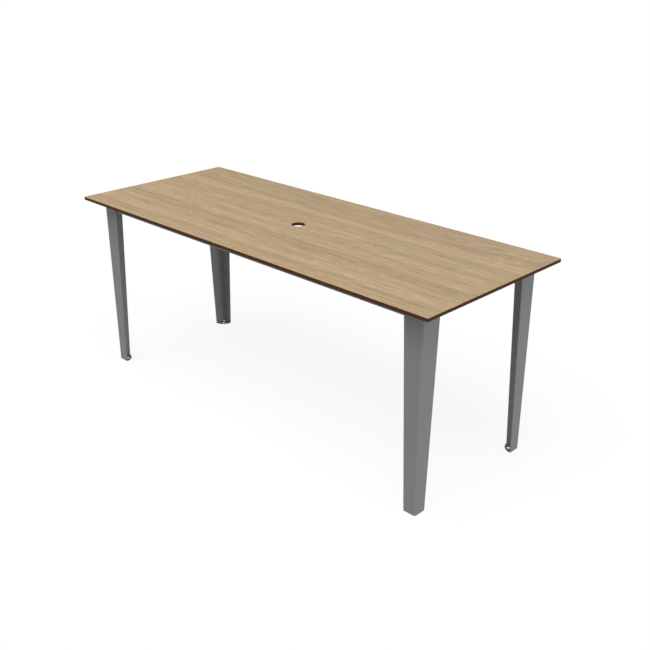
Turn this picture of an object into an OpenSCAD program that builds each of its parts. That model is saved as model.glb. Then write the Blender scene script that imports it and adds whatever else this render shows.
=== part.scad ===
// Garden table: a compact laminate top on four tapered legs of folded steel sheet.
// Millimetres, +Z up, X along the table, origin on the floor under the middle of the top.

/* [Tabletop] */
// Length of the top
top_l = 1807; // [1200:1:2400]
// Width of the top
top_w = 715.5; // [600:0.5:1000]
// Thickness of the laminate board
top_t = 12; // [11:0.5:20]
// Radius of the top's corners in plan
top_corner_r = 6; // [3:0.5:40]
// Bevel that eases the top's edges
top_ease = 0.7; // [0.3:0.1:1.5]
// Height of the top's upper face above the floor
table_h = 739.2; // [650:0.1:780]

/* [Umbrella hole] */
// Diameter of the umbrella hole
umbrella_d = 51.5; // [35:0.5:60]

/* [Legs] */
// Distance from the top's edges to the outer faces of the legs
leg_inset = 59.2; // [20:0.1:90]
// Thickness of the leg's steel sheet
leg_sheet = 4; // [3:0.5:6]
// Inner radius of the fold along the leg's corner
leg_fold_r = 4; // [2:0.5:8]
// Width of each flange at the top of the leg
leg_top_w = 79; // [76:0.5:110]
// Width of each flange at its lower end
leg_foot_w = 49; // [45:0.5:75]

/* [Feet] */
// Thickness of the foot plate, which the table stands on
foot_plate_t = 2.5; // [2:0.5:8]
// How far the foot plate reaches up between the leg's flanges
foot_seat = 0.5; // [0.3:0.1:2]
// Radius of the foot plate about the leg's outer corner
foot_plate_r = 49; // [45:0.5:75]
// Diameter of the anchor hole in the foot plate
anchor_d = 12; // [8:0.5:14]
// Distance from the leg's outer faces to the anchor hole
anchor_offset = 25; // [22:0.5:28]
// Room that the foot plate's relief hole leaves beyond the fold
foot_relief_room = 2.7; // [1:0.1:5]

/* [Frame] */
// Side of the square tube that the rails are cut from
tube_w = 40; // [34:0.5:45]
// Wall of the square tube
tube_wall = 2; // [1.5:0.1:3]
// Outer radius of the tube's long edges
tube_r = 2.5; // [2:0.1:3.5]
// Gap between the rails and the legs' inner faces
frame_gap = 0.3; // [0:0.1:0.8]
// Bevel ground on the mitred corners of the frame, clear of the leg's fold
frame_bevel = 4; // [3:0.5:8]

/* [Head plates] */
// Thickness of the head plate that is welded inside each leg
head_plate_t = 5; // [4:0.5:8]
// Distance from the leg's outer corner to each leg bolt, along the rail
bolt_along = 58; // [54:0.5:62]
// Metal left around the washers at the head plate's rim
head_plate_rim = 4; // [2:0.5:8]
// Room that the head plate's relief hole leaves beyond the fold
head_relief_room = 3.2; // [1:0.1:5]

/* [Leg bolts] */
// Thread diameter of the leg bolts
bolt_d = 8; // [6:0.5:9]
// Length of the leg bolts under the head
bolt_l = 20; // [16:0.5:21]
// Width of the bolt heads across flats
bolt_af = 13; // [12.5:0.5:15]
// Height of the bolt heads
bolt_head_h = 5.3; // [4:0.1:7]
// Play of the leg bolts in the head plate, on the diameter
bolt_play = 1; // [0.5:0.1:2]
// Diameter of the leg bolts' washers
bolt_washer_d = 16; // [14:0.5:20]
// Thickness of the leg bolts' washers
bolt_washer_t = 1.6; // [1:0.1:3]
// Diameter of the threaded bushes in the rails
bush_d = 13; // [12:0.5:16]
// Length of the threaded bushes
bush_l = 15; // [10:0.5:25]

/* [Top fixings] */
// Fixing tabs on each long rail
tabs_per_side = 4; // [2:1:8]
// Distance between the fixing tabs on a long rail
tab_pitch = 420; // [100:5:440]
// Width of a fixing tab along the rail
tab_w = 32; // [24:1:50]
// How far a fixing tab stands out from the rail
tab_l = 30; // [24:1:45]
// Thickness of the fixing tabs
tab_t = 4; // [3:0.5:6]
// Radius of the fixing tabs' free corners
tab_corner_r = 8; // [2:0.5:11]
// Distance from the rail to the tab's screw
tab_screw_offset = 17; // [14:0.5:20]
// Thread diameter of the top screws
screw_d = 6; // [4:0.5:7]
// Length of the top screws under the head
screw_l = 13; // [9:0.5:13.5]
// Diameter of the top screws' heads
screw_head_d = 11; // [9:0.5:13]
// Height of the top screws' heads
screw_head_h = 3.4; // [2.5:0.1:5]
// Bevel around the top screws' heads
screw_head_bevel = 1; // [0.3:0.1:2]
// Hexagon socket of the top screws, across flats
screw_socket_af = 4; // [2.5:0.5:5]
// Depth of the socket
screw_socket_depth = 2; // [1:0.1:2.3]
// Play of the top screws in the tabs, on the diameter, so that the laminate can move
screw_play = 3; // [1:0.5:4]
// Diameter of the top screws' washers
screw_washer_d = 18; // [14:0.5:22]
// Thickness of the top screws' washers
screw_washer_t = 1.5; // [1:0.1:2.5]
// Outer diameter of the threaded inserts in the top
insert_d = 9.5; // [8.5:0.5:12]
// Length of the threaded inserts
insert_l = 9; // [6:0.5:9.5]

/* [Fits] */
// Gap between a screw and its thread, on the radius
thread_gap = 0.05; // [0.02:0.01:0.1]
// Clearance of a washer around its screw, on the diameter
washer_play = 0.4; // [0.2:0.1:1]
// Room beyond an insert at the end of its blind hole
insert_room = 0.4; // [0.1:0.1:0.5]

/* [Hidden] */
$fn = 64;

// Colours of the finishes
laminate_colour = [0.73, 0.64, 0.51];
coat_colour = [0.49, 0.49, 0.49];
steel_colour = [0.75, 0.75, 0.77];
brass_colour = [0.78, 0.65, 0.38];

// Cutting allowance past a face, so that no cut ends on it
past = 1;

// Heights that the pieces share
top_under = table_h - top_t;
rail_bottom = top_under - tube_w;
head_plate_z = rail_bottom - head_plate_t;
leg_bottom = foot_plate_t - foot_seat;
leg_h = top_under - leg_bottom;

// Outer corner of the legs in plan
corner_x = top_l / 2 - leg_inset;
corner_y = top_w / 2 - leg_inset;
fold_outer_r = leg_fold_r + leg_sheet;

// Middle of the relief holes, halfway along both sides of the fold, and their reach to its ends
relief_at = leg_sheet + leg_fold_r / 2;
fold_reach = norm([leg_fold_r, leg_fold_r]) / 2;

// The frame's outline in plan, and the middle line of the rails seen from the leg's corner
frame_set = leg_sheet + frame_gap;
frame_x = corner_x - frame_set;
frame_y = corner_y - frame_set;
rail_mid = frame_set + tube_w / 2;

// Leg bolts, from the leg's outer corner
leg_bolt_spots = [[bolt_along, rail_mid], [rail_mid, bolt_along]];
head_plate_r = norm(leg_bolt_spots[0]) + bolt_washer_d / 2 + head_plate_rim;
bolt_head_z = head_plate_z - bolt_washer_t - bolt_head_h;

// Top fixings: place of each tab's root and the way that it points
tab_side_spots = [for (side = [-1, 1], i = [0 : tabs_per_side - 1])
    [(i - (tabs_per_side - 1) / 2) * tab_pitch, side * (frame_y - tube_w), side < 0 ? 0 : 180]];
tab_end_spots = [for (side = [-1, 1]) [side * (frame_x - tube_w), 0, side < 0 ? -90 : 90]];
tab_spots = concat(tab_side_spots, tab_end_spots);
tab_bottom = top_under - tab_t;
screw_head_z = tab_bottom - screw_washer_t - screw_head_h;

// Mirrors what is drawn for the front left corner to the corner with these signs
module at_corner(side_x, side_y) {
    translate([side_x * corner_x, side_y * corner_y, 0])
        flip([1, 0, 0], side_x > 0) flip([0, 1, 0], side_y > 0) children();
}

module flip(normal, flipped) {
    if (flipped) mirror(normal) children();
    else children();
}

module at_every_corner() {
    for (side_x = [-1, 1], side_y = [-1, 1]) at_corner(side_x, side_y) children();
}

module at_leg_bolts(z) {
    at_every_corner() for (spot = leg_bolt_spots) translate([spot[0], spot[1], z]) children();
}

// Stands at each tab's root, with +Y away from the rail
module at_tabs(z) {
    for (spot = tab_spots) translate([spot[0], spot[1], z]) rotate(spot[2]) children();
}

module at_top_screws(z) {
    at_tabs(z) translate([0, tab_screw_offset, 0]) children();
}

// Outline of a bar with all four edges bevelled
function bevelled_bar(w, h, bevel) = [
    [-w / 2 + bevel, 0], [w / 2 - bevel, 0], [w / 2, bevel], [w / 2, h - bevel],
    [w / 2 - bevel, h], [-w / 2 + bevel, h], [-w / 2, h - bevel], [-w / 2, bevel]];

// Board with round corners and bevelled edges, its underside at z = 0
module eased_board(l, w, h, r, bevel) {
    rotate([90, 0, 0])
        linear_extrude(w - 2 * r, center = true) polygon(bevelled_bar(l, h, bevel));
    rotate([90, 0, 90])
        linear_extrude(l - 2 * r, center = true) polygon(bevelled_bar(w, h, bevel));
    for (side_x = [-1, 1], side_y = [-1, 1])
        translate([side_x * (l / 2 - r), side_y * (w / 2 - r), 0])
            rotate_extrude()
                polygon([[0, 0], [r - bevel, 0], [r, bevel], [r, h - bevel], [r - bevel, h], [0, h]]);
}

module washer(outer_d, inner_d, t) {
    difference() {
        cylinder(d = outer_d, h = t);
        translate([0, 0, -past]) cylinder(d = inner_d, h = t + 2 * past);
    }
}

module tabletop() {
    color(laminate_colour)
        difference() {
            translate([0, 0, top_under]) eased_board(top_l, top_w, top_t, top_corner_r, top_ease);
            translate([0, 0, top_under - past]) cylinder(d = umbrella_d, h = top_t + 2 * past);
            at_top_screws(top_under - past) cylinder(d = insert_d, h = insert_l + insert_room + past);
        }
}

// One flange, from the fold to its free edge, standing along X with its outer face at y = 0
module leg_flange() {
    translate([0, leg_sheet, 0]) rotate([90, 0, 0])
        linear_extrude(leg_sheet)
            polygon([[fold_outer_r, 0], [leg_foot_w, 0], [leg_top_w, leg_h], [fold_outer_r, leg_h]]);
}

// The fold: a quarter of a tube about the bend's centre
module leg_fold() {
    intersection() {
        cube([fold_outer_r, fold_outer_r, leg_h]);
        translate([fold_outer_r, fold_outer_r, 0])
            difference() {
                cylinder(r = fold_outer_r, h = leg_h);
                translate([0, 0, -past]) cylinder(r = leg_fold_r, h = leg_h + 2 * past);
            }
    }
}

module leg() {
    color(coat_colour)
        translate([0, 0, leg_bottom]) {
            leg_flange();
            mirror([1, -1, 0]) leg_flange();
            leg_fold();
        }
}

// Quarter-round plate that fills the L between the leg's inner faces
module corner_plate(r, t, relief_room) {
    difference() {
        intersection() {
            cylinder(r = r, h = t);
            translate([leg_sheet, leg_sheet, 0]) cube([r, r, t]);
        }
        translate([relief_at, relief_at, -past])
            cylinder(r = fold_reach + relief_room, h = t + 2 * past);
    }
}

module foot_plate() {
    color(coat_colour)
        difference() {
            corner_plate(foot_plate_r, foot_plate_t, foot_relief_room);
            translate([anchor_offset, anchor_offset, -past])
                cylinder(d = anchor_d, h = foot_plate_t + 2 * past);
        }
}

module head_plate() {
    color(coat_colour)
        translate([0, 0, head_plate_z])
            difference() {
                corner_plate(head_plate_r, head_plate_t, head_relief_room);
                for (spot = leg_bolt_spots)
                    translate([spot[0], spot[1], -past])
                        cylinder(d = bolt_d + bolt_play, h = head_plate_t + 2 * past);
            }
}

// Square tube along X with round edges, its outer face towards -Y at y = 0
module tube(l, w, r) {
    translate([0, w / 2, 0]) rotate([90, 0, 90])
        linear_extrude(l, center = true) {
            square([w - 2 * r, w], center = true);
            square([w, w - 2 * r], center = true);
            for (side_y = [-1, 1], side_z = [-1, 1])
                translate([side_y * (w / 2 - r), side_z * (w / 2 - r)]) circle(r);
        }
}

// One rail of the frame, along X, with mitred ends and the frame's corners bevelled
module rail(half_l) {
    bore_w = tube_w - 2 * tube_wall;
    bore_r = tube_r - tube_wall / 2;
    intersection() {
        difference() {
            tube(2 * half_l, tube_w, tube_r);
            translate([0, tube_wall, 0]) tube(2 * half_l + 2 * past, bore_w, bore_r);
        }
        linear_extrude(tube_w + 2 * past, center = true)
            polygon([[-half_l + frame_bevel, 0], [half_l - frame_bevel, 0],
                [half_l - frame_bevel / 2, frame_bevel / 2], [half_l - tube_w, tube_w],
                [-half_l + tube_w, tube_w], [-half_l + frame_bevel / 2, frame_bevel / 2]]);
    }
}

module bush_holes() {
    at_leg_bolts(rail_bottom - past) cylinder(d = bush_d, h = tube_wall + 2 * past);
}

// side is -1 for the front rail and 1 for the rear one
module long_rail(side) {
    color(coat_colour)
        difference() {
            translate([0, side * frame_y, rail_bottom + tube_w / 2])
                rotate(side < 0 ? 0 : 180) rail(frame_x);
            bush_holes();
        }
}

// side is -1 for the left rail and 1 for the right one
module end_rail(side) {
    color(coat_colour)
        difference() {
            translate([side * frame_x, 0, rail_bottom + tube_w / 2])
                rotate(side < 0 ? -90 : 90) rail(frame_y);
            bush_holes();
        }
}

module top_tabs() {
    color(coat_colour)
        at_tabs(tab_bottom)
            difference() {
                union() {
                    translate([-tab_w / 2, 0, 0]) cube([tab_w, tab_l - tab_corner_r, tab_t]);
                    translate([-tab_w / 2 + tab_corner_r, 0, 0])
                        cube([tab_w - 2 * tab_corner_r, tab_l, tab_t]);
                    for (side = [-1, 1])
                        translate([side * (tab_w / 2 - tab_corner_r), tab_l - tab_corner_r, 0])
                            cylinder(r = tab_corner_r, h = tab_t);
                }
                translate([0, tab_screw_offset, -past])
                    cylinder(d = screw_d + screw_play, h = tab_t + 2 * past);
            }
}

module top_inserts() {
    color(brass_colour) at_top_screws(top_under) washer(insert_d, screw_d + 2 * thread_gap, insert_l);
}

module top_screws() {
    color(steel_colour)
        at_top_screws(screw_head_z)
            difference() {
                union() {
                    rotate_extrude()
                        polygon([[0, 0], [screw_head_d / 2 - screw_head_bevel, 0],
                            [screw_head_d / 2, screw_head_bevel], [screw_head_d / 2, screw_head_h],
                            [0, screw_head_h]]);
                    cylinder(d = screw_d, h = screw_head_h + screw_l);
                }
                translate([0, 0, -past])
                    cylinder(d = screw_socket_af / cos(30), h = screw_socket_depth + past, $fn = 6);
            }
}

module top_washers() {
    color(steel_colour)
        at_top_screws(tab_bottom - screw_washer_t)
            washer(screw_washer_d, screw_d + washer_play, screw_washer_t);
}

module leg_bolts() {
    color(steel_colour)
        at_leg_bolts(bolt_head_z) {
            cylinder(d = bolt_af / cos(30), h = bolt_head_h, $fn = 6);
            cylinder(d = bolt_d, h = bolt_head_h + bolt_l);
        }
}

module leg_bolt_washers() {
    color(steel_colour)
        at_leg_bolts(head_plate_z - bolt_washer_t)
            washer(bolt_washer_d, bolt_d + washer_play, bolt_washer_t);
}

module leg_bolt_bushes() {
    color(steel_colour) at_leg_bolts(rail_bottom) washer(bush_d, bolt_d + 2 * thread_gap, bush_l);
}

tabletop();
at_corner(-1, -1) leg();  // leg_front_left
at_corner(1, -1) leg();  // leg_front_right
at_corner(-1, 1) leg();  // leg_rear_left
at_corner(1, 1) leg();  // leg_rear_right
at_corner(-1, -1) foot_plate();  // foot_plate_front_left
at_corner(1, -1) foot_plate();  // foot_plate_front_right
at_corner(-1, 1) foot_plate();  // foot_plate_rear_left
at_corner(1, 1) foot_plate();  // foot_plate_rear_right
at_corner(-1, -1) head_plate();  // head_plate_front_left
at_corner(1, -1) head_plate();  // head_plate_front_right
at_corner(-1, 1) head_plate();  // head_plate_rear_left
at_corner(1, 1) head_plate();  // head_plate_rear_right
long_rail(-1);  // rail_front
long_rail(1);  // rail_rear
end_rail(-1);  // rail_left
end_rail(1);  // rail_right
top_tabs();
top_inserts();
top_screws();
top_washers();
leg_bolts();
leg_bolt_washers();
leg_bolt_bushes();
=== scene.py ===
import math

import bmesh
import bpy
from mathutils import Matrix, Vector


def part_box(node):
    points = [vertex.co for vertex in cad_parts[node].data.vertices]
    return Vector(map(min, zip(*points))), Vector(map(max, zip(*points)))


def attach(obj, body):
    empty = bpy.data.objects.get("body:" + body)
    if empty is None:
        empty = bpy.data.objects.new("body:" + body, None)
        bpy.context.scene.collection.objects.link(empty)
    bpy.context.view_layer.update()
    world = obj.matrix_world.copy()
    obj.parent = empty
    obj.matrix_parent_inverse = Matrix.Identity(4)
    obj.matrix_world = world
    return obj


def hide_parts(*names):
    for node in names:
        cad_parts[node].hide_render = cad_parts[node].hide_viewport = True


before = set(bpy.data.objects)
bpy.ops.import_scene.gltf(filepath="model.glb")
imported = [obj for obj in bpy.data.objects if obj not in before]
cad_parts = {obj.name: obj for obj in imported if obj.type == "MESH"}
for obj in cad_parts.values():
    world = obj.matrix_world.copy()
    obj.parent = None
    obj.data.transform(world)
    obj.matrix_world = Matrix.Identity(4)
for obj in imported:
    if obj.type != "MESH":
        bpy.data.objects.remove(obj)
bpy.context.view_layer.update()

# The photograph's view, in metres and degrees: what the camera looks at and from where
CAMERA_TARGET = Vector((0.1392, 0.0011, 0.3709))
CAMERA_DISTANCE = 3.4342
CAMERA_AZIMUTH = 44.59
CAMERA_ELEVATION = 23.77
CAMERA_LENS = 49.98
CAMERA_SENSOR = 36.0

# Lamps: azimuth from +X towards +Y and elevation in degrees, and the light each gives a face turned to it.
# A total of 1 on a face shows its colour as it is written.
LAMPS = {"key": (-76, 65, 0.75), "right_fill": (0, 10, 0.48), "left_fill": (-155, 10, 0.22),
         "rear_fill": (100, 10, 0.25)}
LAMP_SOFTNESS = 50
DOME_LIGHT = 0.2
# The floor's colour in the light it throws up, its colour to the eye, and how much of its shadows shows
FLOOR_COLOUR = 0.56
FLOOR_SEEN = 0.98
FLOOR_SHADOW = 0.12
FLOOR_HALF = 60.0

# Sizes of the table in metres, where the boxes of the frame's nodes don't give them
TOP_CORNER = 0.006
TOP_EASE = 0.0007
UMBRELLA_RADIUS = 0.02575
LEG_SHEET = 0.004
LEG_FOLD = 0.004
LEG_FOOT_WIDTH = 0.049
ANCHOR_OFFSET = 0.025
ANCHOR_RADIUS = 0.006
FOOT_RELIEF_ROOM = 0.0027
HEAD_RELIEF_ROOM = 0.0032
BOLT_ALONG = 0.058
BOLT_RADIUS = 0.004
BOLT_FLATS = 0.013
BOLT_HEAD = 0.0053
BOLT_HOLE = 0.0045
BOLT_WASHER = 0.008
TABS_PER_SIDE = 4
TAB_PITCH = 0.42
TAB_WIDTH = 0.032
TAB_LENGTH = 0.03
TAB_CORNER = 0.008
TAB_SCREW_OFFSET = 0.017
TAB_HOLE = 0.0045
SCREW_RADIUS = 0.003
SCREW_HEAD_RADIUS = 0.0055
SCREW_HEAD = 0.0034
SCREW_SOCKET_FLATS = 0.004
SCREW_SOCKET_DEPTH = 0.002
SCREW_WASHER = 0.009
INSERT_RADIUS = 0.00475
INSERT_ROOM = 0.0004
WASHER_PLAY = 0.0002
TUBE_EDGE = 0.0025

# Small roundings that only the finished surface has
COAT_EDGE = 0.0005
# Radius of a coated sheet's cut corners, a little more than its eased edges take
SHEET_CORNER = 0.0008
METAL_EDGE = 0.0002
# Angle in degrees past which two faces meet in a crisp edge
SHARP_ANGLE = 40
# A bolt head's chamfer: its angle, where it starts as a share of the flats, and the rim of the flat face
BOLT_CHAMFER = 30
BOLT_CHAMFER_START = 0.96
BOLT_FACE_RIM = 0.0006
# Angles of the rings that make a screw's domed head, and the taper of a thread's tip as a share of its radius
SCREW_DOME = (62, 50, 38, 26, 14, 4)
TIP_TAPER = 0.25
# Points in each ring of a bolt or a screw
TURNED_STEPS = 48

# Welds: radius of the beads, length of a ripple, its swing and its rings, and the blunt tip of a bead
FRAME_WELD = 0.0022
FOOT_WELD = 0.0016
WELD_PITCH = 0.0024
WELD_RIPPLE = 0.1
WELD_RINGS = 6
WELD_TIP = 0.05
# Where the welds of a foot plate and of a head plate start and end, from the leg's outer faces
FOOT_WELD_SPAN = (0.013, 0.045)
HEAD_WELD_SPAN = (0.016, 0.07)

SIDES = {"left": -1, "right": 1}
ROWS = {"front": -1, "rear": 1}

# The decor's two middle colours and the range of lightness about them, in levels from 0 to 255
DECOR_WARM = (178, 148.3, 120)
DECOR_COOL = (170, 153.3, 119)
TONE_SPAN = 80
TONE_STOPS = (-30, -15, 0, 15, 30)
# How much of a change of lightness red, green and blue take
TONE_SHARES = (1.05, 1.02, 0.84)
# Broad streaks: the width that they fill, and for each its place across the top, both in metres, and its
# lightness as a change in levels
GRAIN_SPAN = 0.76
GRAIN_STREAKS = [
    (-0.35, 5), (-0.32, 2), (-0.302, -2), (-0.28, 3), (-0.262, 10), (-0.245, 6), (-0.228, 5), (-0.212, 0),
    (-0.192, 2), (-0.155, -4), (-0.122, -5), (-0.108, 5), (-0.072, 4), (-0.052, -1), (-0.022, 5), (0.0, 1),
    (0.018, -3), (0.04, 3), (0.06, 0), (0.1, -3), (0.12, -4), (0.137, 7), (0.165, 4), (0.178, -3),
    (0.19, -9), (0.203, -5), (0.212, -1), (0.23, -5), (0.3, -7), (0.328, 0), (0.35, -7)]
# Slow waviness of the grain, and the cathedral's foot, top, tip, roundness and slope
GRAIN_SWAY = 0.04
SWAY_WAVES = (1.0, 3.0, 0.0)
CATHEDRAL_FOOT = 0.16
CATHEDRAL_TOP = 0.3
CATHEDRAL_TIP = -0.05
CATHEDRAL_ROUND = 0.1
CATHEDRAL_SLOPE = 0.12
# Finer grain: waves to the metre along it and across it, swing in levels, and detail
GRAIN_NOISES = [(0.6, 42.0, 7, 1.0), (2.2, 150.0, 50, 2.0), (7.0, 320.0, 66, 1.0), (25.0, 700.0, 54, 1.0)]
# Runs of warmer and cooler colour: waves to the metre along and across, and swing between the two
HUE_NOISES = [(0.6, 16.0, 1.1), (3.0, 150.0, 1.9)]
# Pores: waves to the metre, the noise at which they start and are deepest, and how many levels they darken
PORE_WAVES = (40.0, 1500.0, 0.0)
PORE_START = 0.62
PORE_END = 0.7
PORE_DEPTH = 22
# Relief of the printed face, in waves to the metre and in metres
FACE_WAVES = (12.0, 900.0, 0.0)
FACE_BUMP = 0.00003

# The other finishes: two colours in levels from 0 to 255, noises in waves to the metre, and relief in metres
CORE_COLOURS = ((69, 44, 28.5), (86, 57, 38))
CORE_LAYERS = (3.0, 3.0, 2400.0)
CORE_MILLING = (500.0, 500.0, 40.0)
CORE_BUMP = 0.00005
COAT_COLOURS = ((126, 126, 126), (133, 133, 133))
COAT_CLOUDS = (18.0, 18.0, 18.0)
COAT_PEEL = (420.0, 420.0, 420.0)
COAT_GRIT = (1600.0, 1600.0, 1600.0)
COAT_BUMP = 0.00006
STEEL_COLOURS = ((138, 138, 141), (164, 164, 167))
BRASS_COLOURS = ((190, 156, 88), (214, 182, 112))
METAL_STAINS = (300.0, 300.0, 300.0)
METAL_MARKS = (900.0, 900.0, 6000.0)
METAL_BUMP = 0.00001
# How strongly the laminate and the coat mirror the white room
LAMINATE_MIRROR = 0.03
COAT_MIRROR = 0.1


def shade(red, green, blue):
    """A colour written in 0 to 255 levels, as the linear numbers that shaders take."""
    return tuple(((level / 255 + 0.055) / 1.055) ** 2.4 for level in (red, green, blue))


def tones(middle):
    """Ramp stops that spread a decor colour over the range of lightness."""
    stops = []
    for change in TONE_STOPS:
        levels = [level + change * share for level, share in zip(middle, TONE_SHARES)]
        stops.append((0.5 + change / TONE_SPAN, shade(*levels)))
    return stops


class Shader:
    """A material with one Principled shader, and short ways to add nodes to it."""

    def __init__(self, name, roughness, metallic=0.0):
        self.material = bpy.data.materials.new(name)
        self.material.use_nodes = True
        self.nodes = self.material.node_tree.nodes
        self.links = self.material.node_tree.links
        self.principled = self.nodes["Principled BSDF"]
        self.principled.inputs["Roughness"].default_value = roughness
        self.principled.inputs["Metallic"].default_value = metallic

    def add(self, kind, **settings):
        node = self.nodes.new(kind)
        for name, value in settings.items():
            setattr(node, name, value)
        return node

    def feed(self, socket, value):
        if isinstance(value, bpy.types.NodeSocket):
            self.links.new(value, socket)
        else:
            socket.default_value = value

    def drive(self, name, value):
        self.feed(self.principled.inputs[name], value)

    def math(self, operation, a, b=0.0, c=0.0):
        node = self.add("ShaderNodeMath", operation=operation)
        for socket, value in zip(node.inputs, (a, b, c)):
            self.feed(socket, value)
        return node.outputs[0]

    def total(self, *values):
        result = values[0]
        for value in values[1:]:
            result = self.math("ADD", result, value)
        return result

    def place(self):
        """The point's X, Y and Z in the table's frame, in metres."""
        coordinates = self.add("ShaderNodeTexCoord")
        split = self.add("ShaderNodeSeparateXYZ")
        self.links.new(coordinates.outputs["Object"], split.inputs[0])
        return split.outputs

    def stretch(self, place, per_metre, shift=0.0):
        """A place in a noise that has so many waves to the metre along each axis."""
        node = self.add("ShaderNodeCombineXYZ")
        for socket, value, rate in zip(node.inputs, place, per_metre):
            self.feed(socket, self.math("MULTIPLY_ADD", value, rate, shift))
        return node.outputs[0]

    def noise(self, vector, detail=2.0, roughness=0.5):
        """Noise from 0 to 1 about a middle of 0.5."""
        node = self.add("ShaderNodeTexNoise")
        self.feed(node.inputs["Vector"], vector)
        node.inputs["Scale"].default_value = 1.0
        node.inputs["Detail"].default_value = detail
        node.inputs["Roughness"].default_value = roughness
        return node.outputs[0]

    def swing(self, value, amount):
        """Noise turned into a swing about zero."""
        return self.math("MULTIPLY", self.math("SUBTRACT", value, 0.5), amount)

    def rise(self, value, start, end):
        """How far a value has come from start to end, from 0 to 1."""
        node = self.add("ShaderNodeMapRange")
        for name, given in (("Value", value), ("From Min", start), ("From Max", end)):
            self.feed(node.inputs[name], given)
        return node.outputs[0]

    def ramp(self, value, stops):
        node = self.add("ShaderNodeValToRGB")
        self.feed(node.inputs[0], value)
        node.color_ramp.interpolation = "EASE"
        elements = node.color_ramp.elements
        while len(elements) < len(stops):
            elements.new(1.0)
        for element, (position, colour) in zip(elements, stops):
            element.position = position
            element.color = (*colour, 1.0)
        return node.outputs[0]

    def mix(self, factor, a, b):
        node = self.add("ShaderNodeMix", data_type="RGBA")
        for socket, value in ((node.inputs[0], factor), (node.inputs[6], a), (node.inputs[7], b)):
            self.feed(socket, (*value, 1.0) if isinstance(value, tuple) else value)
        return node.outputs[2]

    def bump(self, height, distance):
        node = self.add("ShaderNodeBump")
        node.inputs["Strength"].default_value = 1.0
        node.inputs["Distance"].default_value = distance
        self.feed(node.inputs["Height"], height)
        self.drive("Normal", node.outputs[0])


def grain_place(s, x, y, z):
    """The place across the grain: Y made wavy, and lifted along the cathedral's flanks."""
    sway = s.swing(s.noise(s.stretch((x, y, z), SWAY_WAVES)), GRAIN_SWAY)
    along = s.math("SUBTRACT", x, CATHEDRAL_TIP)
    flank = s.math("SQRT", s.math("MULTIPLY_ADD", along, along, CATHEDRAL_ROUND ** 2))
    slope = s.math("MULTIPLY", s.math("SUBTRACT", flank, CATHEDRAL_ROUND), CATHEDRAL_SLOPE)
    lift = s.math("MULTIPLY", slope, s.rise(y, CATHEDRAL_FOOT, CATHEDRAL_TOP))
    return s.total(y, sway, s.math("MULTIPLY", lift, -1.0))


def laminate_face():
    """Oak-look decor: long streaks along X at several widths, with a cathedral along the rear."""
    s = Shader("oak_laminate", 0.5)
    s.drive("Specular IOR Level", LAMINATE_MIRROR)
    x, y, z = s.place()
    across = grain_place(s, x, y, z)

    # Lightness in levels from 0 to 255, as a change from the decor's middle colour
    streaks = s.ramp(s.math("MULTIPLY_ADD", across, 1 / GRAIN_SPAN, 0.5),
                     [(0.5 + place / GRAIN_SPAN, (0.5 + change / TONE_SPAN,) * 3)
                      for place, change in GRAIN_STREAKS])
    tone = s.swing(streaks, TONE_SPAN)
    for along_rate, across_rate, swing, detail in GRAIN_NOISES:
        grain = s.noise(s.stretch((x, across, z), (along_rate, across_rate, 0.0), across_rate), detail)
        tone = s.math("ADD", tone, s.swing(grain, swing))
    pores = s.noise(s.stretch((x, across, z), PORE_WAVES, 3.0), detail=1.0)
    pore = s.rise(pores, PORE_START, PORE_END)
    tone = s.math("ADD", tone, s.math("MULTIPLY", pore, -PORE_DEPTH))

    # Colour from lightness, between a warmer and a cooler run of the decor
    place = s.math("MULTIPLY_ADD", tone, 1 / TONE_SPAN, 0.5)
    warm, cool = s.ramp(place, tones(DECOR_WARM)), s.ramp(place, tones(DECOR_COOL))
    hue = 0.5
    for along_rate, across_rate, swing in HUE_NOISES:
        run = s.noise(s.stretch((x, across, z), (along_rate, across_rate, 0.0), across_rate / 2))
        hue = s.math("ADD", hue, s.swing(run, swing))
    s.drive("Base Color", s.mix(hue, warm, cool))
    s.drive("Roughness", s.math("MULTIPLY_ADD", pore, 0.1, 0.5))
    relief = s.noise(s.stretch((x, across, z), FACE_WAVES))
    s.bump(s.math("MULTIPLY_ADD", pore, -1.0, relief), FACE_BUMP)
    return s.material


def laminate_core():
    """The brown core that shows on the board's edges, in fine layers."""
    s = Shader("laminate_core", 0.6)
    s.drive("Specular IOR Level", LAMINATE_MIRROR)
    place = s.place()
    layers = s.noise(s.stretch(place, CORE_LAYERS), detail=3.0)
    milling = s.noise(s.stretch(place, CORE_MILLING))
    dark, light = CORE_COLOURS
    s.drive("Base Color", s.mix(layers, shade(*dark), shade(*light)))
    s.drive("Roughness", s.math("MULTIPLY_ADD", layers, 0.2, 0.5))
    s.bump(s.math("ADD", layers, s.math("MULTIPLY", milling, 0.5)), CORE_BUMP)
    return s.material


def powder_coat():
    """Grey coat with faint clouds, and the grit and orange peel of baked powder."""
    s = Shader("grey_powder_coat", 0.5)
    s.drive("Specular IOR Level", COAT_MIRROR)
    place = s.place()
    cloud = s.noise(s.stretch(place, COAT_CLOUDS))
    grit = s.noise(s.stretch(place, COAT_GRIT), detail=1.0)
    peel = s.noise(s.stretch(place, COAT_PEEL))
    dark, light = COAT_COLOURS
    s.drive("Base Color", s.mix(s.math("ADD", cloud, s.swing(grit, 1.2)), shade(*dark), shade(*light)))
    s.drive("Roughness", s.math("MULTIPLY_ADD", s.math("MULTIPLY", cloud, grit), 0.3, 0.42))
    s.bump(s.math("MULTIPLY_ADD", grit, 0.5, peel), COAT_BUMP)
    return s.material


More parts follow.
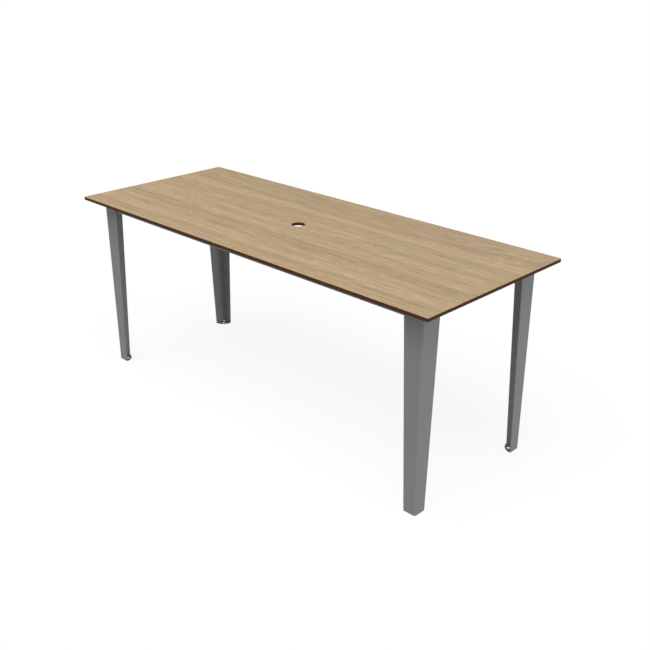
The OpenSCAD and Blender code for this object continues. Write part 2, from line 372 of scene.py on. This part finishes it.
def metal(name, colours):
    """A bare metal between two colours, in blotches that are duller or shinier, with fine tool marks."""
    s = Shader(name, 0.4, 1.0)
    place = s.place()
    stain = s.noise(s.stretch(place, METAL_STAINS), detail=4.0)
    marks = s.noise(s.stretch(place, METAL_MARKS))
    dull, bright = colours
    s.drive("Base Color", s.mix(stain, shade(*dull), shade(*bright)))
    s.drive("Roughness", s.math("MULTIPLY_ADD", stain, -0.25, 0.55))
    s.bump(marks, METAL_BUMP)
    return s.material


def arc(centre, radius, start, end, steps):
    """Points round a centre from one angle to another, in degrees."""
    angles = [math.radians(start + (end - start) * i / steps) for i in range(steps + 1)]
    return [(centre[0] + radius * math.cos(a), centre[1] + radius * math.sin(a)) for a in angles]


def circle(centre, radius, steps=32):
    return arc(centre, radius, 0, 360, steps)[:-1]


def rounded(corners, steps=6):
    """A polygon whose corners, each an x, a y and a radius, are turned into arcs."""
    points = []
    for i, (x, y, radius) in enumerate(corners):
        here = Vector((x, y))
        before = (Vector(corners[i - 1][:2]) - here).normalized()
        after = (Vector(corners[(i + 1) % len(corners)][:2]) - here).normalized()
        half = before.angle(after) / 2
        reach = radius / math.tan(half)
        centre = here + (before + after).normalized() * radius / math.sin(half)
        start = (here + before * reach - centre).normalized()
        end = (here + after * reach - centre).normalized()
        for step in range(steps + 1):
            points.append(tuple(centre + radius * start.slerp(end, step / steps)))
    return points


def inset(outline, amount):
    """An outline moved to its left side, which is the inner side of a counter-clockwise one."""
    moved = []
    for i, here in enumerate(outline):
        here = Vector(here)
        before = (here - Vector(outline[i - 1])).normalized()
        after = (Vector(outline[(i + 1) % len(outline)]) - here).normalized()
        left = Vector((-before.y - after.y, before.x + after.x)) / (1 + before.dot(after))
        moved.append(tuple(here + left * amount))
    return moved


def eased_edge(low, high, ease, steps=3):
    """How far in and how high each ring of a plate with eased edges lies, from low to high."""
    turns = [math.radians(90 * i / steps) for i in range(steps + 1)]
    return ([(ease * (1 - math.cos(a)), low + ease * (1 - math.sin(a))) for a in reversed(turns)]
            + [(ease * (1 - math.cos(a)), high - ease * (1 - math.sin(a))) for a in turns])


def rings(outline, low, high, ease):
    return [[(*point, z) for point in inset(outline, amount)] for amount, z in eased_edge(low, high, ease)]


def turned_ring(radius, height):
    """A ring about the Z axis. Each of the two is a number, or a rule that takes an angle in degrees."""
    points = []
    for i in range(TURNED_STEPS):
        angle = 360 * i / TURNED_STEPS
        reach = radius(angle) if callable(radius) else radius
        z = height(angle) if callable(height) else height
        points.append((reach * math.cos(math.radians(angle)), reach * math.sin(math.radians(angle)), z))
    return points


def shank(radius, start, end):
    """Rings of a round shank with a tapered tip."""
    taper = radius * TIP_TAPER
    return [turned_ring(radius, start), turned_ring(radius, end - taper), turned_ring(radius - taper, end)]


def hexagon(flats, angle):
    """Distance from the middle of a hexagon to its rim, at an angle in degrees."""
    return flats / 2 / math.cos(math.radians((angle + 30) % 60 - 30))


class Shape:
    """A mesh in the making, to which closed solids are added one by one."""

    def __init__(self):
        self.mesh = bmesh.new()

    def walls(self, loop, place):
        made = [[self.mesh.verts.new(place @ Vector(point)) for point in ring] for ring in loop]
        for low, high in zip(made, made[1:]):
            for i in range(len(low)):
                self.mesh.faces.new((low[i - 1], low[i], high[i], high[i - 1]))
        return made

    def cap(self, loops):
        edges = [self.mesh.edges.get((ring[i - 1], ring[i])) for ring in loops for i in range(len(ring))]
        bmesh.ops.triangle_fill(self.mesh, edges=edges, use_beauty=True)

    def solid(self, loops, pits=(), place=Matrix()):
        """A solid from the rings of its outline, of its holes and of the pits in its lower face."""
        through = [self.walls(loop, place) for loop in loops]
        blind = [self.walls(loop, place) for loop in pits]
        self.cap([made[0] for made in through + blind])
        self.cap([made[-1] for made in through])
        for made in blind:
            self.cap([made[-1]])
        verts = [vert for made in through + blind for ring in made for vert in ring]
        self.face_outwards(list(dict.fromkeys(face for vert in verts for face in vert.link_faces)))

    def face_outwards(self, faces):
        """Turns the faces of one closed solid outwards, which makes its volume positive."""
        bmesh.ops.recalc_face_normals(self.mesh, faces=faces)
        for face in faces:
            face.normal_update()
        base = faces[0].verts[0].co
        volume = sum(face.calc_area() * face.normal.dot(face.calc_center_median() - base) for face in faces)
        if volume < 0:
            bmesh.ops.reverse_faces(self.mesh, faces=faces)

    def plate(self, outlines, low, high, ease, place=Matrix()):
        """A plate with eased edges. The first outline is its rim, and the rest are holes."""
        rim, *holes = outlines
        self.solid([rings(rim, low, high, ease)]
                   + [rings(hole[::-1], low, high, ease) for hole in holes], place=place)

    def weld(self, start, end, bead, place=Matrix()):
        """A rippled bead of that radius along a straight seam, with round ends."""
        start, end = Vector(start), Vector(end)
        along = (end - start).normalized()
        up = Vector((0, 0, 1)) if abs(along.z) < 0.5 else Vector((1, 0, 0))
        side = along.cross(up)
        length = (end - start).length
        count = round(WELD_RINGS * length / WELD_PITCH)
        loop = []
        for i in range(count + 1):
            reach = length * i / count
            to_end = min(reach, length - reach, bead)
            taper = math.sqrt(1 - (1 - to_end / bead) ** 2)
            ripple = 1 + WELD_RIPPLE * math.sin(2 * math.pi * reach / WELD_PITCH)
            radius = bead * max(taper, WELD_TIP) * ripple
            loop.append([start + along * reach + side * u + up * v for u, v in circle((0, 0), radius, 12)])
        self.solid([loop], place=place)

    def corner_welds(self, span, z, bead, place):
        """Two beads that hold a plate to a leg's inner faces."""
        start, end = span
        self.weld((start, LEG_SHEET, z), (end, LEG_SHEET, z), bead, place)
        self.weld((LEG_SHEET, start, z), (LEG_SHEET, end, z), bead, place)


def piece(name, shape, material, slot, *nodes):
    """A finished piece that rides on the table and stands for the CAD nodes named."""
    data = bpy.data.meshes.new(name)
    shape.mesh.to_mesh(data)
    shape.mesh.free()
    data.shade_smooth()
    data.set_sharp_from_angle(angle=math.radians(SHARP_ANGLE))
    data.materials.append(material)
    obj = bpy.data.objects.new(name, data)
    bpy.context.scene.collection.objects.link(obj)
    obj.modifiers.new("flat_faces", "WEIGHTED_NORMAL").keep_sharp = True
    if nodes:
        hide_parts(*nodes)
    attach(obj, "root")
    return obj


def corner_places():
    """Each corner's name, with the way from a leg's own axes, inwards from its outer corner."""
    places = {}
    for row, sign_y in ROWS.items():
        for side, sign_x in SIDES.items():
            low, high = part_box(f"leg_{row}_{side}")
            corner = (high.x if sign_x > 0 else low.x, high.y if sign_y > 0 else low.y, 0)
            places[f"{row}_{side}"] = Matrix.Translation(corner) @ Matrix.Diagonal((-sign_x, -sign_y, 1, 1))
    return places


def tab_places():
    """Each fixing tab's root on its rail, with +Y away from the rail."""
    inner_x, inner_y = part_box("rail_right")[0].x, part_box("rail_rear")[0].y
    roots = [(-inner_x, 0, -90), (inner_x, 0, 90)]
    for i in range(TABS_PER_SIDE):
        along = (i - (TABS_PER_SIDE - 1) / 2) * TAB_PITCH
        roots += [(along, -inner_y, 0), (along, inner_y, 180)]
    return [Matrix.Translation((x, y, 0)) @ Matrix.Rotation(math.radians(turn), 4, "Z")
            for x, y, turn in roots]


def screw_places():
    return [place @ Matrix.Translation((0, TAB_SCREW_OFFSET, 0)) for place in tab_places()]


def bolt_spots():
    """The two leg bolts' places from a leg's outer corner."""
    rail_low, rail_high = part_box("rail_rear")
    rail_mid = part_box("leg_rear_right")[1].y - (rail_low.y + rail_high.y) / 2
    return [(BOLT_ALONG, rail_mid), (rail_mid, BOLT_ALONG)]


def bolt_places():
    return [place @ Matrix.Translation((*spot, 0))
            for place in corner_places().values() for spot in bolt_spots()]


def make_tabletop():
    low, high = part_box("tabletop")
    rim = rounded([(low.x, low.y, TOP_CORNER), (high.x, low.y, TOP_CORNER),
                   (high.x, high.y, TOP_CORNER), (low.x, high.y, TOP_CORNER)], 12)
    hole = circle((0, 0), UMBRELLA_RADIUS, 96)[::-1]
    pit_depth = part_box("top_inserts")[1].z + INSERT_ROOM
    pits = []
    for place in screw_places():
        spot = place.translation
        outline = circle((spot.x, spot.y), INSERT_RADIUS)[::-1]
        pits.append([[(*point, z) for point in outline] for z in (low.z, pit_depth)])
    shape = Shape()
    shape.solid([rings(rim, low.z, high.z, TOP_EASE), rings(hole, low.z, high.z, TOP_EASE)], pits)
    board = piece("tabletop_board", shape, laminate_core(), "laminate", "tabletop")
    board.data.materials.append(laminate_face())
    for face in board.data.polygons:
        if min(abs(face.center.z - low.z), abs(face.center.z - high.z)) < TOP_EASE / 8:
            face.material_index = 1


def make_leg(name, place, coat):
    low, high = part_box(f"leg_{name}")
    outer_fold = LEG_FOLD + LEG_SHEET

    def section(z):
        width = LEG_FOOT_WIDTH + (high.x - low.x - LEG_FOOT_WIDTH) * (z - low.z) / (high.z - low.z)
        edge = SHEET_CORNER
        return rounded([(0, 0, outer_fold), (width, 0, edge), (width, LEG_SHEET, edge),
                        (LEG_SHEET, LEG_SHEET, LEG_FOLD), (LEG_SHEET, width, edge), (0, width, edge)], 8)

    loop = [[(*point, z) for point in inset(section(z), amount)]
            for amount, z in eased_edge(low.z, high.z, COAT_EDGE)]
    shape = Shape()
    shape.solid([loop], place=place)
    piece(f"leg_sheet_{name}", shape, coat, "powder_coat", f"leg_{name}")


def corner_plate(radius, relief_room):
    """Quarter-round outline between a leg's inner faces, with the relief at the fold."""
    relief_at = LEG_SHEET + LEG_FOLD / 2
    relief = math.hypot(LEG_FOLD, LEG_FOLD) / 2 + relief_room
    reach = math.sqrt(radius ** 2 - LEG_SHEET ** 2)
    span = math.degrees(math.atan2(LEG_SHEET, reach))
    notch = math.degrees(math.asin((relief_at - LEG_SHEET) / relief))
    return (arc((0, 0), radius, span, 90 - span, 32)
            + arc((relief_at, relief_at), relief, 90 + notch, -notch, 16))


def make_foot(name, place, coat):
    low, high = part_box(f"foot_plate_{name}")
    radius = math.hypot(high.x - low.x + LEG_SHEET, LEG_SHEET)
    anchor = circle((ANCHOR_OFFSET, ANCHOR_OFFSET), ANCHOR_RADIUS)
    shape = Shape()
    shape.plate([corner_plate(radius, FOOT_RELIEF_ROOM), anchor], low.z, high.z, COAT_EDGE, place)
    shape.corner_welds(FOOT_WELD_SPAN, high.z, FOOT_WELD, place)
    piece(f"foot_{name}", shape, coat, "powder_coat", f"foot_plate_{name}")


def make_head(name, place, coat):
    low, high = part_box(f"head_plate_{name}")
    radius = math.hypot(high.x - low.x + LEG_SHEET, LEG_SHEET)
    holes = [circle(spot, BOLT_HOLE) for spot in bolt_spots()]
    shape = Shape()
    shape.plate([corner_plate(radius, HEAD_RELIEF_ROOM), *holes], low.z, high.z, COAT_EDGE, place)
    shape.corner_welds(HEAD_WELD_SPAN, low.z, FRAME_WELD, place)
    piece(f"head_{name}", shape, coat, "powder_coat", f"head_plate_{name}")


def make_tabs(coat):
    low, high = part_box("top_tabs")
    half = TAB_WIDTH / 2
    outline = rounded([(-half, 0, SHEET_CORNER), (half, 0, SHEET_CORNER), (half, TAB_LENGTH, TAB_CORNER),
                       (-half, TAB_LENGTH, TAB_CORNER)], 8)
    shape = Shape()
    for place in tab_places():
        shape.plate([outline, circle((0, TAB_SCREW_OFFSET), TAB_HOLE)], low.z, high.z, COAT_EDGE, place)
        shape.weld((-half, 0, low.z), (half, 0, low.z), FRAME_WELD, place)
    piece("fixing_tabs", shape, coat, "powder_coat", "top_tabs")


def make_corner_welds(coat):
    """Upright beads in the frame's four inner corners, where its mitres meet."""
    inner_x, inner_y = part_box("rail_right")[0].x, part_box("rail_rear")[0].y
    low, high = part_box("rail_rear")
    shape = Shape()
    for side in SIDES.values():
        for row in ROWS.values():
            corner = (side * inner_x, row * inner_y)
            shape.weld((*corner, low.z + TUBE_EDGE), (*corner, high.z - TUBE_EDGE), FRAME_WELD)
    piece("frame_corner_welds", shape, coat, "powder_coat")


def make_bolts(steel):
    low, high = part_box("leg_bolts")
    head_top = low.z + BOLT_HEAD
    chamfer_radius = BOLT_FLATS / 2 * BOLT_CHAMFER_START

    def rim(angle):
        return hexagon(BOLT_FLATS, angle)

    def chamfer(angle):
        return low.z + (rim(angle) - chamfer_radius) * math.tan(math.radians(BOLT_CHAMFER))

    head = [turned_ring(chamfer_radius - BOLT_FACE_RIM, low.z), turned_ring(chamfer_radius, low.z),
            turned_ring(rim, chamfer), turned_ring(rim, head_top)]
    shape = Shape()
    for place in bolt_places():
        shape.solid([head + shank(BOLT_RADIUS, head_top, high.z)], place=place)
    piece("hex_bolts", shape, steel, "stainless", "leg_bolts")


def make_screws(steel):
    low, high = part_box("top_screws")
    under_head = low.z + SCREW_HEAD
    dome = []
    for angle in SCREW_DOME:
        turn = math.radians(angle)
        dome.append((SCREW_HEAD_RADIUS * math.cos(turn), under_head - SCREW_HEAD * math.sin(turn)))
    face = dome[0][1]

    def socket(angle):
        return hexagon(SCREW_SOCKET_FLATS, angle)

    head = [turned_ring(socket, face + SCREW_SOCKET_DEPTH), turned_ring(socket, face)]
    head += [turned_ring(radius, z) for radius, z in dome]
    head += [turned_ring(SCREW_HEAD_RADIUS, under_head)]
    shape = Shape()
    for place in screw_places():
        shape.solid([head + shank(SCREW_RADIUS, under_head, high.z)], place=place)
    piece("button_screws", shape, steel, "stainless", "top_screws")


def make_washers(name, node, places, outer, inner, steel):
    low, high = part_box(node)
    rim, hole = circle((0, 0), outer, 48), circle((0, 0), inner, 48)
    shape = Shape()
    for place in places:
        shape.plate([rim, hole], low.z, high.z, METAL_EDGE, place)
    piece(name, shape, steel, "stainless", node)


def finish_node(name, material):
    """Puts a finish on a node that stays as it is in the frame."""
    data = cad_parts[name].data
    data.materials.clear()
    data.materials.append(material)
    data.shade_smooth()
    data.set_sharp_from_angle(angle=math.radians(SHARP_ANGLE))


def make_table():
    coat, steel = powder_coat(), metal("dull_steel", STEEL_COLOURS)
    make_tabletop()
    for name, place in corner_places().items():
        make_leg(name, place, coat)
        make_foot(name, place, coat)
        make_head(name, place, coat)
    make_tabs(coat)
    make_corner_welds(coat)
    make_bolts(steel)
    make_screws(steel)
    make_washers("bolt_washers", "leg_bolt_washers", bolt_places(), BOLT_WASHER,
                 BOLT_RADIUS + WASHER_PLAY, steel)
    make_washers("screw_washers", "top_washers", screw_places(), SCREW_WASHER,
                 SCREW_RADIUS + WASHER_PLAY, steel)
    for name in ("rail_front", "rail_rear", "rail_left", "rail_right"):
        finish_node(name, coat)
    finish_node("leg_bolt_bushes", steel)
    finish_node("top_inserts", metal("turned_brass", BRASS_COLOURS))


def make_camera():
    data = bpy.data.cameras.new("camera")
    data.lens = CAMERA_LENS
    data.sensor_width = CAMERA_SENSOR
    obj = bpy.data.objects.new("camera", data)
    bpy.context.scene.collection.objects.link(obj)
    azimuth, elevation = math.radians(CAMERA_AZIMUTH), math.radians(CAMERA_ELEVATION)
    back = Vector((math.sin(azimuth) * math.cos(elevation), -math.cos(azimuth) * math.cos(elevation),
                   math.sin(elevation)))
    obj.location = CAMERA_TARGET + back * CAMERA_DISTANCE
    obj.rotation_mode = "QUATERNION"
    obj.rotation_quaternion = (-back).to_track_quat("-Z", "Y")
    bpy.context.scene.camera = obj


def make_lamps():
    for name, (azimuth, elevation, light) in LAMPS.items():
        data = bpy.data.lights.new(name, "SUN")
        data.energy = light * math.pi
        data.angle = math.radians(LAMP_SOFTNESS)
        lamp = bpy.data.objects.new(name, data)
        bpy.context.scene.collection.objects.link(lamp)
        flat = math.cos(math.radians(elevation))
        source = Vector((flat * math.cos(math.radians(azimuth)), flat * math.sin(math.radians(azimuth)),
                         math.sin(math.radians(elevation))))
        lamp.rotation_mode = "QUATERNION"
        lamp.rotation_quaternion = source.to_track_quat("Z", "Y")


def seen_directly(nodes, links):
    """One for camera, mirror and glass rays, and zero for the light that falls on things."""
    path = nodes.new("ShaderNodeLightPath")
    result = path.outputs["Is Camera Ray"]
    for name in ("Is Glossy Ray", "Is Transmission Ray"):
        larger = nodes.new("ShaderNodeMath")
        larger.operation = "MAXIMUM"
        links.new(result, larger.inputs[0])
        links.new(path.outputs[name], larger.inputs[1])
        result = larger.outputs[0]
    return result


def make_world():
    """A white room that shows at full strength and lights the table at a lower one."""
    world = bpy.data.worlds.new("studio")
    bpy.context.scene.world = world
    world.use_nodes = True
    nodes, links = world.node_tree.nodes, world.node_tree.links
    strength = nodes.new("ShaderNodeMix")
    links.new(seen_directly(nodes, links), strength.inputs["Factor"])
    strength.inputs["A"].default_value = DOME_LIGHT
    strength.inputs["B"].default_value = 1.0
    background = nodes["Background"]
    background.inputs["Color"].default_value = (1, 1, 1, 1)
    links.new(strength.outputs[0], background.inputs["Strength"])


def floor_material():
    """White that shows the table's shadow only faintly, and lets everything through from below."""
    material = bpy.data.materials.new("floor")
    material.use_nodes = True
    nodes, links = material.node_tree.nodes, material.node_tree.links
    seen = seen_directly(nodes, links)
    colour = nodes.new("ShaderNodeMix")
    colour.data_type = "RGBA"
    links.new(seen, colour.inputs[0])
    for socket, level in ((colour.inputs[6], FLOOR_COLOUR), (colour.inputs[7], FLOOR_SEEN)):
        socket.default_value = (level, level, level, 1)
    diffuse = nodes.new("ShaderNodeBsdfDiffuse")
    links.new(colour.outputs[2], diffuse.inputs["Color"])
    white = nodes.new("ShaderNodeEmission")
    factor = nodes.new("ShaderNodeMath")
    factor.operation = "MULTIPLY"
    links.new(seen, factor.inputs[0])
    factor.inputs[1].default_value = 1 - FLOOR_SHADOW
    lit = nodes.new("ShaderNodeMixShader")
    links.new(factor.outputs[0], lit.inputs[0])
    links.new(diffuse.outputs[0], lit.inputs[1])
    links.new(white.outputs[0], lit.inputs[2])
    below = nodes.new("ShaderNodeNewGeometry")
    clear = nodes.new("ShaderNodeBsdfTransparent")
    one_sided = nodes.new("ShaderNodeMixShader")
    links.new(below.outputs["Backfacing"], one_sided.inputs[0])
    links.new(lit.outputs[0], one_sided.inputs[1])
    links.new(clear.outputs[0], one_sided.inputs[2])
    links.new(one_sided.outputs[0], nodes["Material Output"].inputs["Surface"])
    return material


def make_floor():
    half = FLOOR_HALF
    corners = [(-half, -half, 0), (half, -half, 0), (half, half, 0), (-half, half, 0)]
    data = bpy.data.meshes.new("floor")
    data.from_pydata(corners, [], [(0, 1, 2, 3)])
    floor = bpy.data.objects.new("floor", data)
    bpy.context.scene.collection.objects.link(floor)
    data.materials.append(floor_material())


make_camera()
make_table()
make_lamps()
make_world()
make_floor()
bpy.context.scene.view_settings.view_transform = "Standard"
